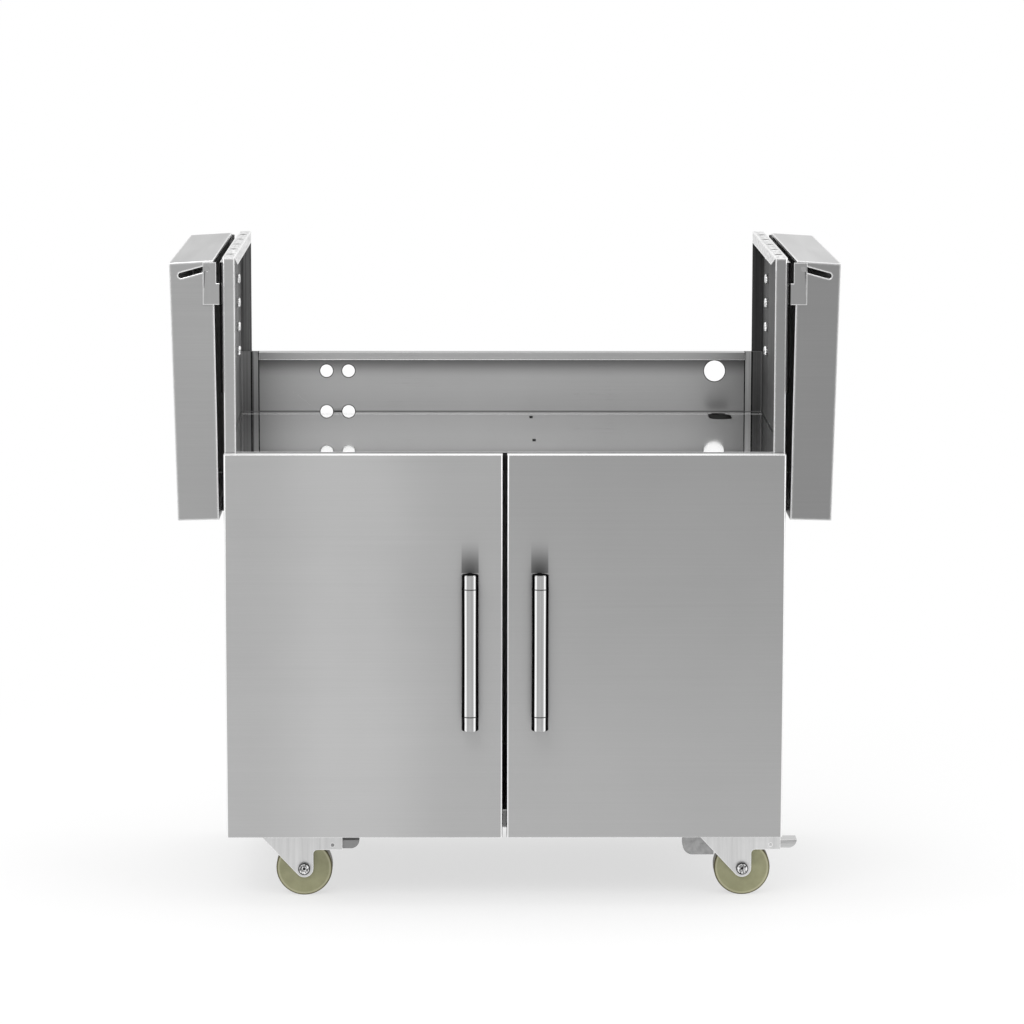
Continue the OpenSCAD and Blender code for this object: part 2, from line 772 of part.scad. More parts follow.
module shelf_pan() {
    rim_slope = atan((skirt_root - skirt_tip) / (shelf_l + root_rise));
    color("silver") folded() difference() {
        skirt_block(0);
        // hollow of the pan, up to the lips along the rim
        difference() {
            skirt_block(sheet);
            translate([-root_rise, 0, skirt_root]) rotate([0, rim_slope, 0])
                box([-over, skirt_y0, -sheet], [shelf_l + skirt_root, skirt_y1, over]);
        }
        box([sheet, skirt_y0 + rim_lip_w, sheet],
            [shelf_l - rim_lip_w, skirt_y1 - rim_lip_w, skirt_root + over]);
        shelf_slot(skirt_y0 - over, skirt_y1 + over);
    }
}

// Slots for the pins through both skirts, starting round the pin
module shelf_slot(y0, y1) {
    translate([pin_in_root, 0, pin_w]) rotate([0, 90 - slot_slope, 0])
        rotate([90, 0, 0]) translate([0, 0, -y1]) linear_extrude(y1 - y0) {
            circle(shelf_slot_r);
            translate([slot_travel, 0]) circle(shelf_slot_r);
            translate([0, -shelf_slot_r]) square([slot_travel, 2 * shelf_slot_r]);
        }
}

// Hat-shaped rib welded under the work surface, along the shelf's long side
module shelf_stiffener() {
    u0 = shelf_l / 2 - rib_w / 2;
    u1 = shelf_l / 2 + rib_w / 2;
    y0 = skirt_y0 + rib_margin;
    y1 = skirt_y1 - rib_margin;
    color("silver") folded() {
        box([u0, y0, rib_h], [u1, y1, sheet + rib_h]);
        for (u = [u0, u1 - sheet])
            box([u, y0, sheet], [u + sheet, y1, sheet + rib_h]);
        box([u0 - rib_brim, y0, sheet], [u0, y1, 2 * sheet]);
        box([u1, y0, sheet], [u1 + rib_brim, y1, 2 * sheet]);
    }
}

module at_plate_bolts() {
    for (x = [-1, 1], y = [-1, 1])
        translate([x * plate_bolt_x / 2, y * plate_bolt_y / 2]) children();
}

module caster_plate(spot) {
    color("gainsboro") translate(swivel_spots[spot]) difference() {
        union() {
            translate([0, 0, plate_z]) linear_extrude(plate_t) {
                square([plate_l - 2 * plate_corner_r, plate_w], center = true);
                square([plate_l, plate_w - 2 * plate_corner_r], center = true);
                for (x = [-1, 1], y = [-1, 1])
                    translate([x * (plate_l / 2 - plate_corner_r),
                        y * (plate_w / 2 - plate_corner_r)]) circle(plate_corner_r);
            }
            rod_z(0, 0, race_d, plate_z - race_h, plate_z);
        }
        rod_z(0, 0, kingpin_d, plate_z - race_h - over, caster_h + over);
        at_plate_bolts() rod_z(0, 0, plate_bolt_d + 2 * screw_fit, plate_z - over,
            caster_h + over);
    }
}

module caster_bolts() {
    color("lightgray") for (spot = swivel_spots) translate(spot) at_plate_bolts() {
        translate([0, 0, plate_z - plate_bolt_head_h])
            cylinder(d = plate_bolt_head_d, h = plate_bolt_head_h, $fn = 6);
        rod_z(0, 0, plate_bolt_d, plate_z - plate_bolt_head_h,
            caster_h + channel_t + plate_nut_h);
        translate([0, 0, caster_h + channel_t])
            cylinder(d = plate_bolt_head_d, h = plate_nut_h, $fn = 6);
    }
}

module kingpins() {
    color("lightgray") for (spot = swivel_spots) translate(spot) {
        rod_z(0, 0, kingpin_d, crown_z - slip - kingpin_head_h, caster_h);
        rod_z(0, 0, kingpin_head_d, crown_z - slip - kingpin_head_h, crown_z - slip);
    }
}

// Side view of a fork leg, with the swivel axis at x = 0 and the floor at y = 0
module fork_leg(reach) {
    tangent = [trail - fork_end_r * sin(fork_slope), axle_z - fork_end_r * cos(fork_slope)];
    back_x = tangent[0] - (crown_top - tangent[1]) / tan(fork_slope);
    edge_x = trail + fork_end_r;
    difference() {
        union() {
            polygon([[back_x, crown_top], tangent, [trail, axle_z], [edge_x, axle_z],
                [edge_x, arch_z], [reach, arch_z], [reach, crown_top]]);
            translate([trail, axle_z]) circle(fork_end_r);
            translate([edge_x, arch_z - crown_fillet]) square(crown_fillet);
        }
        translate([edge_x + crown_fillet, arch_z - crown_fillet]) circle(crown_fillet);
        translate([trail, axle_z]) circle(d = axle_d);
    }
}

module fork(spot) {
    braked = spot < 2;
    reach = braked ? housing_x : fork_front_x;
    tangent_x = trail - fork_end_r * sin(fork_slope);
    back_x = tangent_x - (crown_top - axle_z + fork_end_r * cos(fork_slope)) / tan(fork_slope);
    color("gainsboro") translate(swivel_spots[spot]) difference() {
        union() {
            for (y = [-fork_out, fork_in]) translate([0, y + fork_t, 0]) rotate([90, 0, 0])
                linear_extrude(fork_t) fork_leg(reach);
            box([back_x, -fork_out, crown_z], [reach, fork_out, crown_top]);
        }
        rod_z(0, 0, kingpin_d + 2 * run_fit, crown_z - over, crown_top + over);
        if (braked) rod_y(pedal_pivot_x, pedal_pivot_z, pedal_pin_d + 2 * run_fit,
            -fork_out - over, fork_out + over);
    }
}

module wheel(spot) {
    r = wheel_d / 2;
    bore = axle_d / 2 + run_fit;
    color("darkkhaki") translate([swivel_spots[spot][0] + trail, swivel_spots[spot][1], axle_z])
        rotate([90, 0, 0]) rotate_extrude() {
            translate([bore, -hub_w / 2]) square([hub_r - bore, hub_w]);
            translate([bore, -wheel_w / 2]) square([r - wheel_edge_r - bore, wheel_w]);
            translate([bore, -wheel_w / 2 + wheel_edge_r])
                square([r - bore, wheel_w - 2 * wheel_edge_r]);
            for (s = [-1, 1])
                translate([r - wheel_edge_r, s * (wheel_w / 2 - wheel_edge_r)])
                    circle(wheel_edge_r);
        }
}

// Axle bolt: a socket head in front, a nut behind
module axle(spot) {
    color("lightgray") translate([swivel_spots[spot][0] + trail, swivel_spots[spot][1], axle_z])
        difference() {
            union() {
                rod_y(0, 0, axle_d, -fork_out - axle_head_h, fork_out + axle_head_h);
                rod_y(0, 0, axle_head_d, -fork_out - axle_head_h, -fork_out);
                translate([0, fork_out, 0]) rotate([-90, 0, 0])
                    cylinder(d = axle_head_d, h = axle_head_h, $fn = 6);
            }
            translate([0, -fork_out - axle_head_h - over, 0]) rotate([-90, 0, 0])
                cylinder(d = axle_socket_d, h = axle_socket_h + over, $fn = 6);
        }
}

module brake_pedal(spot) {
    round_x = pedal_reach - pedal_h;
    color("slategray") translate(swivel_spots[spot]) {
        difference() {
            union() {
                box([pedal_x0, -pedal_w / 2, pedal_z1 - pedal_h],
                    [round_x, pedal_w / 2, pedal_z1]);
                rod_y(round_x, pedal_z1, 2 * pedal_h, -pedal_w / 2, pedal_w / 2);
            }
            box([pedal_x0, -pedal_w, pedal_z1], [pedal_reach + over, pedal_w, pedal_z1 + pedal_h
                + over]);
        }
        rod_y(pedal_pivot_x, pedal_pivot_z, pedal_pin_d, -fork_out, fork_out);
    }
}

// Guard at the leading end of the right front fork, open at its back
module fork_guard() {
    color("gray") translate(swivel_spots[1]) difference() {
        guard_block(0);
        translate([0, fork_t, 0]) guard_block(fork_t);
    }
}

// Side outline of the guard, rounded at its lower front corner, drawn across its depth
module guard_block(inset) {
    r = guard_r - inset;
    translate([0, guard_d / 2, 0]) rotate([90, 0, 0]) linear_extrude(guard_d) {
        translate([-guard_reach + inset, crown_z - guard_h + guard_r])
            square([guard_x1 + guard_reach - 2 * inset, guard_h - guard_r - inset]);
        translate([-guard_reach + guard_r, crown_z - guard_h + inset])
            square([guard_x1 + guard_reach - guard_r - inset, guard_h - 2 * inset]);
        translate([-guard_reach + guard_r, crown_z - guard_h + guard_r]) circle(r);
    }
}

hand(false) side_panel();  // side_panel_left
hand(true) side_panel();  // side_panel_right
back_panel();
corner_angles();
deck();
deck_stiffener();
deck_rivets();
cabinet_floor();
front_rail();
hand(false) base_channel();  // base_channel_left
hand(true) base_channel();  // base_channel_right
hinge_brackets();
hinge_pins();
hinge_screws();
magnetic_catches();
hand(false) shelf_brackets();  // shelf_brackets_left
hand(true) shelf_brackets();  // shelf_brackets_right
bracket_screws();
shelf_pins();
shelf_bumpers();
hand(false) door_skin();  // door_skin_left
hand(false) door_liner();  // door_liner_left
hand(false) hinge_blocks();  // hinge_blocks_left
hand(false) strike_plate();  // strike_plate_left
hand(false) handle_bar();  // handle_bar_left
hand(false) handle_ends();  // handle_ends_left
hand(false) handle_screws();  // handle_screws_left
hand(true) door_skin();  // door_skin_right
hand(true) door_liner();  // door_liner_right
hand(true) hinge_blocks();  // hinge_blocks_right
hand(true) strike_plate();  // strike_plate_right
hand(true) handle_bar();  // handle_bar_right
hand(true) handle_ends();  // handle_ends_right
hand(true) handle_screws();  // handle_screws_right
hand(false) shelf_pan();  // shelf_pan_left
hand(false) shelf_stiffener();  // shelf_stiffener_left
hand(true) shelf_pan();  // shelf_pan_right
hand(true) shelf_stiffener();  // shelf_stiffener_right
caster_bolts();
kingpins();
caster_plate(0);  // caster_plate_front_left
caster_plate(1);  // caster_plate_front_right
caster_plate(2);  // caster_plate_rear_left
caster_plate(3);  // caster_plate_rear_right
fork(0);  // fork_front_left
fork(1);  // fork_front_right
fork(2);  // fork_rear_left
fork(3);  // fork_rear_right
wheel(0);  // wheel_front_left
wheel(1);  // wheel_front_right
wheel(2);  // wheel_rear_left
wheel(3);  // wheel_rear_right
axle(0);  // axle_front_left
axle(1);  // axle_front_right
axle(2);  // axle_rear_left
axle(3);  // axle_rear_right
brake_pedal(0);  // brake_pedal_left
brake_pedal(1);  // brake_pedal_right
fork_guard();  // fork_guard_right
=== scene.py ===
import math

import bpy
from mathutils import Matrix, Vector


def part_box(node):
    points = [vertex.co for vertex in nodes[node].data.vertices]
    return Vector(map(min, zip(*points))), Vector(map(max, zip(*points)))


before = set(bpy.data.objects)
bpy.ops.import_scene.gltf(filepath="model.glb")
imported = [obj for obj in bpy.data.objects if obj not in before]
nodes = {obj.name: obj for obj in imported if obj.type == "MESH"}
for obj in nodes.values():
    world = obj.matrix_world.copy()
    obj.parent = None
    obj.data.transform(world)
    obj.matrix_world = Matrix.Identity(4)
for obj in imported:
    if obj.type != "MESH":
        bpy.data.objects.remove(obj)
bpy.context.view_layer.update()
scene = bpy.context.scene
scene.view_settings.view_transform = "Standard"


def middle(name, axis):
    """Middle of a node's box along one axis, and half its size there."""
    low, high = (corner[axis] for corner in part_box(name))
    return (low + high) / 2, (high - low) / 2


# Places that the finishes follow, in metres. Masks use the distance to either side of the
# middle, so the places of the right-hand pieces serve both sides.
_, back_face, deck_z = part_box("deck")[1]
back_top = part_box("back_panel")[1][2]
wing_low, wing_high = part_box("side_panel_right")
flange_x, wing_x, wing_top = wing_low[0], wing_high[0], wing_high[2]
lip_z = wing_top - 0.017                            # foot of the lip of the wings' top flange
post_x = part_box("corner_angles")[1][0] - 0.027      # inner edge of the corner angles
door_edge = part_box("door_skin_right")[0][0]
handle_x, handle_r = middle("handle_ends_right", 0)
handle_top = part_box("handle_ends_right")[1][2]
handle_joints = [corner[2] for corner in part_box("handle_bar_right")]
pin_r = 0.0038                                      # radius of the shelf pins
pin_x, pin_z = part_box("shelf_pins")[1][0] - pin_r, middle("shelf_pins", 2)[0]
flange_hole_x, flange_hole_y = (middle("side_panel_right", axis)[0] for axis in (0, 1))
flange_hole_pitch = 0.084
# X, Z and radius of the holes in the back panel
hose_holes = ((-0.2635, 0.706, 0.0095), (-0.2305, 0.706, 0.0095), (-0.2635, deck_z, 0.0095),
              (-0.2305, deck_z, 0.0095), (0.32, 0.706, 0.01575))

hair = 0.0005                   # keeps a mask's limit off the face that it follows
bevel_width = 0.0004
black = 0.005                   # base colour of painted shade in gaps, on bends and round holes, and of dark rings
painted_highlight = 0.95                # base colour of painted highlights on folds, cut edges, faces that look up and a deck line
dull = 0.7                      # roughness of the dark, streaked painted shade

# Brush lines per metre along X, Y and Z
along_x = (3.0, 3.0, 1500.0)    # level lines on an upright sheet
flat_x = (3.0, 1500.0, 3.0)     # lines along X on a flat sheet
tall = (1500.0, 1500.0, 3.0)    # upright lines


class Graph:
    """A material's node tree, with short calls for the nodes used here."""

    def __init__(self, name):
        self.material = bpy.data.materials.new(name)
        self.material.use_nodes = True
        self.tree = self.material.node_tree
        self.tree.nodes.clear()
        self.out = self.add("ShaderNodeOutputMaterial")
        self.shader = self.add("ShaderNodeBsdfPrincipled")
        self.link(self.shader.outputs["BSDF"], self.out.inputs["Surface"])
        self.place = self.add("ShaderNodeTexCoord").outputs["Object"]

    def add(self, kind, **values):
        """Adds a node of a kind, with its settings."""
        node = self.tree.nodes.new(kind)
        for key, value in values.items():
            setattr(node, key, value)
        return node

    def link(self, a, b):
        self.tree.links.new(a, b)

    def feed(self, socket, x):
        """Sets a socket to a number or a colour, or links it to another socket."""
        if isinstance(x, (int, float)):
            socket.default_value = x
        elif isinstance(x, tuple):
            socket.default_value = (*x, 1.0)
        else:
            self.link(x, socket)

    def noise(self, scale, detail, rough=0.55, seed=0.0):
        """Noise on the piece's own coordinates. scale is in features per metre, one number or
        one each along X, Y and Z.
        """
        if isinstance(scale, float):
            scale = (scale, scale, scale)
        stretch = self.add("ShaderNodeMapping")
        stretch.inputs["Scale"].default_value = scale
        stretch.inputs["Location"].default_value = (seed, seed * 0.7, seed * 1.3)
        self.link(self.place, stretch.inputs["Vector"])
        noise = self.add("ShaderNodeTexNoise")
        noise.inputs["Scale"].default_value = 1.0
        noise.inputs["Detail"].default_value = detail
        noise.inputs["Roughness"].default_value = rough
        self.link(stretch.outputs["Vector"], noise.inputs["Vector"])
        return noise.outputs["Fac"]

    def axes(self):
        """X, Y and Z of the piece's own coordinates, in metres."""
        split = self.add("ShaderNodeSeparateXYZ")
        self.link(self.place, split.inputs[0])
        return tuple(split.outputs)

    def remap(self, value, low, high, new_low, new_high, smooth=False):
        """new_low where value is low, new_high where it is high, and held at both ends."""
        node = self.add("ShaderNodeMapRange",
                        interpolation_type="SMOOTHSTEP" if smooth else "LINEAR")
        for key, x in (("From Min", low), ("From Max", high),
                       ("To Min", new_low), ("To Max", new_high)):
            node.inputs[key].default_value = x
        self.link(value, node.inputs["Value"])
        return node.outputs["Result"]

    def math(self, operation, a, b=0.0):
        node = self.add("ShaderNodeMath", operation=operation)
        self.feed(node.inputs[0], a)
        self.feed(node.inputs[1], b)
        return node.outputs[0]

    def product(self, *factors):
        total = factors[0]
        for factor in factors[1:]:
            total = self.math("MULTIPLY", total, factor)
        return total

    def between(self, value, low, high):
        """1 where value is between low and high, and 0 elsewhere."""
        return self.product(self.math("GREATER_THAN", value, low),
                            self.math("LESS_THAN", value, high))

    def apart(self, value, target):
        """How far value is from target, either way."""
        return self.math("ABSOLUTE", self.math("SUBTRACT", value, target))

    def near(self, value, target, reach):
        """1 where value is within reach of target, and 0 elsewhere."""
        return self.math("LESS_THAN", self.apart(value, target), reach)

    def distance(self, a, b, a0, b0):
        """Distance in the plane of a and b from the point a0, b0."""
        off_a, off_b = self.math("SUBTRACT", a, a0), self.math("SUBTRACT", b, b0)
        return self.math("SQRT", self.math("ADD", self.product(off_a, off_a),
                                           self.product(off_b, off_b)))

    def mix(self, share, a, b):
        """Number a where share is 0 and number b where it is 1."""
        node = self.add("ShaderNodeMix", data_type="FLOAT")
        self.feed(node.inputs[0], share)
        self.feed(node.inputs[2], a)
        self.feed(node.inputs[3], b)
        return node.outputs[0]

    def blend(self, share, a, b):
        """Colour a where share is 0 and colour b where it is 1."""
        node = self.add("ShaderNodeMix", data_type="RGBA")
        self.feed(node.inputs[0], share)
        self.feed(node.inputs[6], a)
        self.feed(node.inputs[7], b)
        return node.outputs[2]

    def facing(self):
        """Parts of the piece's own surface direction along X, Y and Z."""
        split = self.add("ShaderNodeSeparateXYZ")
        self.link(self.add("ShaderNodeTexCoord").outputs["Normal"], split.inputs[0])
        return tuple(split.outputs)

    def edge(self, radius):
        """1 along folds and cut edges, falling to 0 within the radius.

        Near a sharp edge the rounded direction departs from the plain one, and on a bend the
        surface looks along none of the axes.
        """
        rounded = self.add("ShaderNodeBevel", samples=6)
        rounded.inputs["Radius"].default_value = radius
        plain = self.add("ShaderNodeNewGeometry")
        turn = self.add("ShaderNodeVectorMath", operation="DOT_PRODUCT")
        self.link(rounded.outputs["Normal"], turn.inputs[0])
        self.link(plain.outputs["Normal"], turn.inputs[1])
        cut = self.remap(turn.outputs["Value"], 0.988, 0.94, 0.0, 1.0)
        x, y, z = (self.math("ABSOLUTE", part) for part in self.facing())
        most = self.math("MAXIMUM", x, self.math("MAXIMUM", y, z))
        bend = self.remap(most, 0.995, 0.975, 0.0, 1.0)
        return self.math("MAXIMUM", cut, bend)

    def bump(self, height, strength, distance):
        node = self.add("ShaderNodeBump")
        node.inputs["Strength"].default_value = strength
        node.inputs["Distance"].default_value = distance
        self.link(height, node.inputs["Height"])
        self.link(node.outputs["Normal"], self.shader.inputs["Normal"])

    def set(self, **values):
        """Sets or links the shader's own sockets."""
        for key, value in values.items():
            self.feed(self.shader.inputs[key.replace("_", " ")], value)


def brush_lines(g, grain):
    """Fine brushing, with grain in lines per metre along X, Y and Z."""
    return g.noise(grain, 4.0, 0.6)


def shade_streaks(g, dark, light):
    """Dark painted shade with upright streaks."""
    return g.remap(g.noise((230.0, 60.0, 1.4), 3.0, 0.6, seed=1.7), 0.34, 0.66, dark, light)


def sheet_steel(name, tone, roughness, grain, anisotropic=0.0, shade=None, hidden=None,
                rim=painted_highlight, spread=0.03, bump=0.03, edge_width=0.0036, marks=None, plain=None,
                painted_lit=None):
    """Brushed sheet steel with a painted highlight along its edges, in the tone rim. grain gives
    its brush lines.

    shade gives a factor on the tone that paints light and shade. hidden gives a share painted
    dark and streaked as shade, and the darkest and lightest of its streaks. painted_lit gives a
    share painted bright and dull as a highlight, marks a share that is darkened last, edges
    included: painted shade in gaps, on bends and round the top flange's holes, and dark rings
    round the hose holes. plain gives a share without the painted edge highlight.
    """
    g = Graph(name)
    lines = brush_lines(g, grain)
    smudge = g.noise(6.0, 3.0, 0.5, seed=7.7)
    level = g.remap(lines, 0.3, 0.7, tone * (1 - spread), tone * (1 + spread))
    level = g.math("MULTIPLY", level, g.remap(smudge, 0.3, 0.7, 0.98, 1.02))
    if shade:
        level = g.math("MULTIPLY", level, shade(g))
    rough = g.math("ADD", g.remap(lines, 0.3, 0.7, roughness - 0.04, roughness + 0.04),
                   g.remap(smudge, 0.35, 0.65, -0.02, 0.02))
    # A rim tone painted along the edges; a light rim is a painted highlight
    edge = g.edge(edge_width)
    if plain:
        edge = g.math("MULTIPLY", edge, g.math("SUBTRACT", 1.0, plain(g)))
    level = g.mix(edge, level, rim)
    metal = 1.0
    # Painted shade: the hidden share is dark, streaked and not metal
    if hidden:
        share, dark, light = hidden(g)
        level = g.mix(share, level, shade_streaks(g, dark, light))
        rough = g.mix(share, rough, dull)
        metal = g.math("SUBTRACT", 1.0, share)
    # Painted highlight: a bright, dull share
    if painted_lit:
        share = painted_lit(g)
        level = g.mix(share, level, painted_highlight)
        metal = g.mix(share, metal, 0.1)
    # Darkened last: painted shade in gaps, on bends and round the top flange's holes, and dark
    # rings round the hose holes
    if marks:
        level = g.mix(marks(g), level, black)
    g.set(Base_Color=level, Roughness=rough, Metallic=metal)
    if anisotropic:
        tangent = g.add("ShaderNodeTangent", direction_type="RADIAL", axis="Z")
        g.set(Tangent=tangent.outputs["Tangent"], Anisotropic=anisotropic,
              Anisotropic_Rotation=0.25)
    g.bump(lines, bump, 0.0002)
    return g


def shade_dark_steel(name, dark, light):
    """Sheet painted dark all over as shade, with upright streaks."""
    g = Graph(name)
    g.set(Base_Color=shade_streaks(g, dark, light), Roughness=dull, Metallic=0.0)
    g.bump(brush_lines(g, along_x), 0.03, 0.0002)
    return g


def plated(name, tone, roughness, streak, spread=0.08, rim=None, edge_width=0.0009):
    """Plated or polished metal with faint clouding, and the tone rim painted along its edges; a
    light rim is a painted highlight.
    """
    g = Graph(name)
    clouds = g.noise(streak, 4.0, 0.6)
    fine = g.noise(900.0, 2.0, 0.5, seed=2.0)
    level = g.remap(clouds, 0.33, 0.67, tone * (1 - spread), tone * (1 + spread))
    if rim is not None:
        level = g.mix(g.edge(edge_width), level, rim)
    g.set(Base_Color=level, Metallic=1.0,
          Roughness=g.remap(clouds, 0.35, 0.65, roughness * 0.8, roughness * 1.25))
    g.bump(fine, 0.03, 0.0001)
    return g


def mottle_and_skin(g, scale, low, high, smooth, rough):
    """Bumpy moulded skin, its roughness, and a mottle from the colour low to the colour high."""
    clouds = g.noise(scale, 4.0, 0.6)
    skin = g.noise(1500.0, 2.0, 0.5, seed=5.0)
    g.set(Roughness=g.remap(skin, 0.3, 0.7, smooth, rough))
    g.bump(skin, 0.08, 0.0001)
    return g.blend(g.remap(clouds, 0.35, 0.65, 0.0, 1.0), low, high)


def moulded(name, low, high, roughness):
    """Moulded plastic or rubber with a slight mottle and skin."""
    g = Graph(name)
    g.set(Base_Color=mottle_and_skin(g, 60.0, low, high, roughness - 0.05, roughness + 0.08))
    return g


def nylon(name, x0, z0, radius):
    """Olive wheel nylon round the axle at x0, z0: a pale ring by the rim, a dark tread."""
    g = Graph(name)
    x, _, z = g.axes()
    reach = g.distance(x, z, x0, z0)
    body = mottle_and_skin(g, 55.0, (0.270, 0.267, 0.152), (0.328, 0.322, 0.190), 0.36, 0.48)
    ring = g.product(g.remap(reach, radius - 0.0055, radius - 0.0034, 0.0, 0.4, smooth=True),
                     g.math("LESS_THAN", reach, radius - 0.0022))
    body = g.blend(ring, body, (0.62, 0.60, 0.42))
    tread = g.remap(reach, radius - 0.0024, radius - 0.001, 0.0, 1.0, smooth=True)
    g.set(Base_Color=g.blend(tread, body, (0.075, 0.062, 0.015)))
    return g


def axle_steel(name, x0, z0, radius):
    """Chromed axle bolt at x0, z0 with a dark ring round its head and a dark socket."""
    g = Graph(name)
    x, _, z = g.axes()
    reach = g.distance(x, z, x0, z0)
    clouds = g.noise(330.0, 2.0, 0.6)
    level = g.remap(clouds, 0.40, 0.60, 0.10, 0.95)
    dark_ring = g.remap(reach, radius - 0.0017, radius - 0.0009, 0.0, 1.0, smooth=True)
    level = g.mix(dark_ring, level, 0.012)
    level = g.mix(g.math("LESS_THAN", reach, 0.0022), level, 0.03)
    g.set(Base_Color=level, Metallic=1.0, Roughness=g.remap(clouds, 0.35, 0.65, 0.14, 0.26))
    g.bump(clouds, 0.1, 0.0003)
    return g


def handle_steel(name, joints):
    """Polished tube with fine seams at the heights joints, where its end pieces begin.

    Its base colour holds a painted reflection: from its front round to its side it is grey, a
    painted highlight, dark and bright again, with its back darker and its top dark.
    """
    g = Graph(name)
    facing = g.facing()
    side = g.math("ABSOLUTE", facing[0])
    streaks = g.noise((700.0, 700.0, 2.0), 3.0, 0.6)
    level = g.remap(streaks, 0.35, 0.65, 0.36, 0.44)
    level = g.mix(g.remap(side, 0.36, 0.46, 0.0, 1.0, smooth=True), level, 0.97)
    level = g.mix(g.remap(side, 0.56, 0.68, 0.0, 1.0, smooth=True), level, 0.006)
    level = g.mix(g.remap(side, 0.90, 0.96, 0.0, 1.0, smooth=True), level, 0.8)
    level = g.mix(g.math("GREATER_THAN", facing[1], 0.5), level, 0.3)
    level = g.mix(g.math("GREATER_THAN", facing[2], 0.5), level, 0.03)
    z = g.axes()[2]
    for joint in joints:
        level = g.mix(g.remap(g.apart(z, joint), 0.0005, 0.0011, 0.85, 0.0), level, 0.03)
    g.set(Base_Color=level, Metallic=1.0, Roughness=g.remap(streaks, 0.35, 0.65, 0.14, 0.2))
    g.shader.inputs["Specular Tint"].default_value = (0.15, 0.15, 0.15, 1.0)
    g.bump(streaks, 0.03, 0.0001)
    return g


def door_shade(top, bottom):
    """Painted light over the doors: gradients across and up them, a broad painted highlight band
    on the left, and a dark painted reflection of each handle smeared above it.
    """
    highlight_band_x, reflection_smear_h = -0.215, 0.044

    def shade(g):
        x, _, z = g.axes()
        beside = g.apart(g.math("ABSOLUTE", x), handle_x)
        handle_reflection = g.product(
            g.remap(beside, handle_r - 0.0008, handle_r + 0.0006, 0.5, 0.0, smooth=True),
            g.remap(z, handle_top, handle_top + reflection_smear_h, 1.0, 0.0, smooth=True),
            g.math("GREATER_THAN", z, handle_top - 0.004))
        return g.product(g.remap(x, -0.39, 0.39, 1.07, 0.97), g.remap(z, 0.12, 0.62, bottom, top),
                         g.remap(g.apart(x, highlight_band_x), 0.02, 0.15, 1.15, 1.0, smooth=True),
                         g.math("SUBTRACT", 1.0, handle_reflection))
    return shade


def door_gap_shade(g):
    """Painted shade on the doors' flanks towards the gap between them."""
    flank = g.math("LESS_THAN", g.math("ABSOLUTE", g.axes()[0]), door_edge + bevel_width)
    return g.math("MULTIPLY", flank, 0.92)


def looks_up(g):
    """The faces that look up, which get a painted highlight."""
    return g.remap(g.facing()[2], 0.6, 0.9, 0.0, 1.0)


def back_inside(g):
    """The back panel's inner face, without the front of its top fold."""
    return g.product(g.math("GREATER_THAN", g.axes()[1], back_face - 0.00295),
                     g.math("LESS_THAN", g.facing()[1], -0.5))


def back_shade(g):
    """Painted shade on the back panel's inner face: a painted shadow under the top fold, a dark
    painted line in the crease by the deck, and a little darker towards the deck.
    """
    z, inside = g.axes()[2], back_inside(g)
    fold_shadow = g.remap(z, back_top - 0.041, back_top - 0.0105, 0.0, 0.63, smooth=True)
    crease_shade = g.product(inside, g.between(z, deck_z - hair, deck_z + 0.0013), 0.55)
    return g.product(g.math("SUBTRACT", 1.0, g.product(inside, fold_shadow)),
                     g.math("SUBTRACT", 1.0, crease_shade),
                     g.remap(z, deck_z + hair, back_top - 0.051, 0.92, 1.0))


def back_plain(g):
    """The back panel's top fold, which gets no painted edge highlight."""
    return g.math("GREATER_THAN", g.axes()[2], back_top - 0.0025)


def back_marks(g):
    """Dark rings round the hose holes."""
    x, y, z = g.axes()
    total = 0.0
    for x0, z0, radius in hose_holes:
        total = g.math("MAXIMUM", total, g.math("LESS_THAN", g.distance(x, z, x0, z0),
                                                radius + 0.0011))
    return g.product(total, g.math("GREATER_THAN", y, back_face - 0.00295))


def post_shade(g):
    """Corner angles, with painted light and shade: dark over the side panel's flange, paler
    beyond it, unlike on the left and right, lighter towards the top, with fine painted shadow
    lines at the flange and the angles' inner edge.
    """
    x, _, z = g.axes()
    off = g.math("ABSOLUTE", x)
    right = g.math("GREATER_THAN", x, 0.0)
    beyond = g.math("LESS_THAN", off, flange_x - 0.0003)
    tone = g.mix(beyond, g.mix(right, 1.0, 0.5), g.mix(right, 1.6, 2.2))
    tone = g.mix(g.near(off, flange_x - 0.0015, 0.0008), tone, g.mix(right, 0.5, 2.4))
    for crease_shade_x in (flange_x, post_x):
        tone = g.mix(g.near(off, crease_shade_x + 0.0007, 0.0011), tone, 0.04)
    return g.product(tone, g.remap(z, deck_z + hair, back_top - 0.006, 0.75, 1.2))


def wing_painted_shade(dark, light):
    """Painted shade on the wings' inner faces and rear flanges over the deck, up to the lip of
    the top flange.
    """
    def hidden(g):
        x, y, z = g.axes()
        off = g.math("ABSOLUTE", x)
        lip = g.product(g.math("LESS_THAN", off, flange_x + 0.0013),
                        g.math("GREATER_THAN", z, lip_z - hair))
        share = g.product(g.between(off, flange_x - hair, wing_x - hair),
                          g.between(y, wing_low[1] + 0.00065, wing_high[1] - 0.00045),
                          g.between(z, deck_z, wing_top - 0.0014), g.math("SUBTRACT", 1.0, lip))
        return share, dark, light
    return hidden


def wing_shade(top):
    """Painted light on the top flange and lip: brightened, and mottled."""
    def shade(g):
        x, _, z = g.axes()
        lip = g.product(g.math("GREATER_THAN", z, lip_z - hair),
                        g.between(g.math("ABSOLUTE", x), flange_x - 0.0003, flange_x + 0.0015))
        high = g.math("MAXIMUM", g.math("GREATER_THAN", z, wing_top - hair), lip)
        mottle = g.noise((210.0, 90.0, 210.0), 3.0, 0.6, seed=4.2)
        return g.mix(high, 1.0, g.remap(mottle, 0.36, 0.60, top * 0.55, top))
    return shade


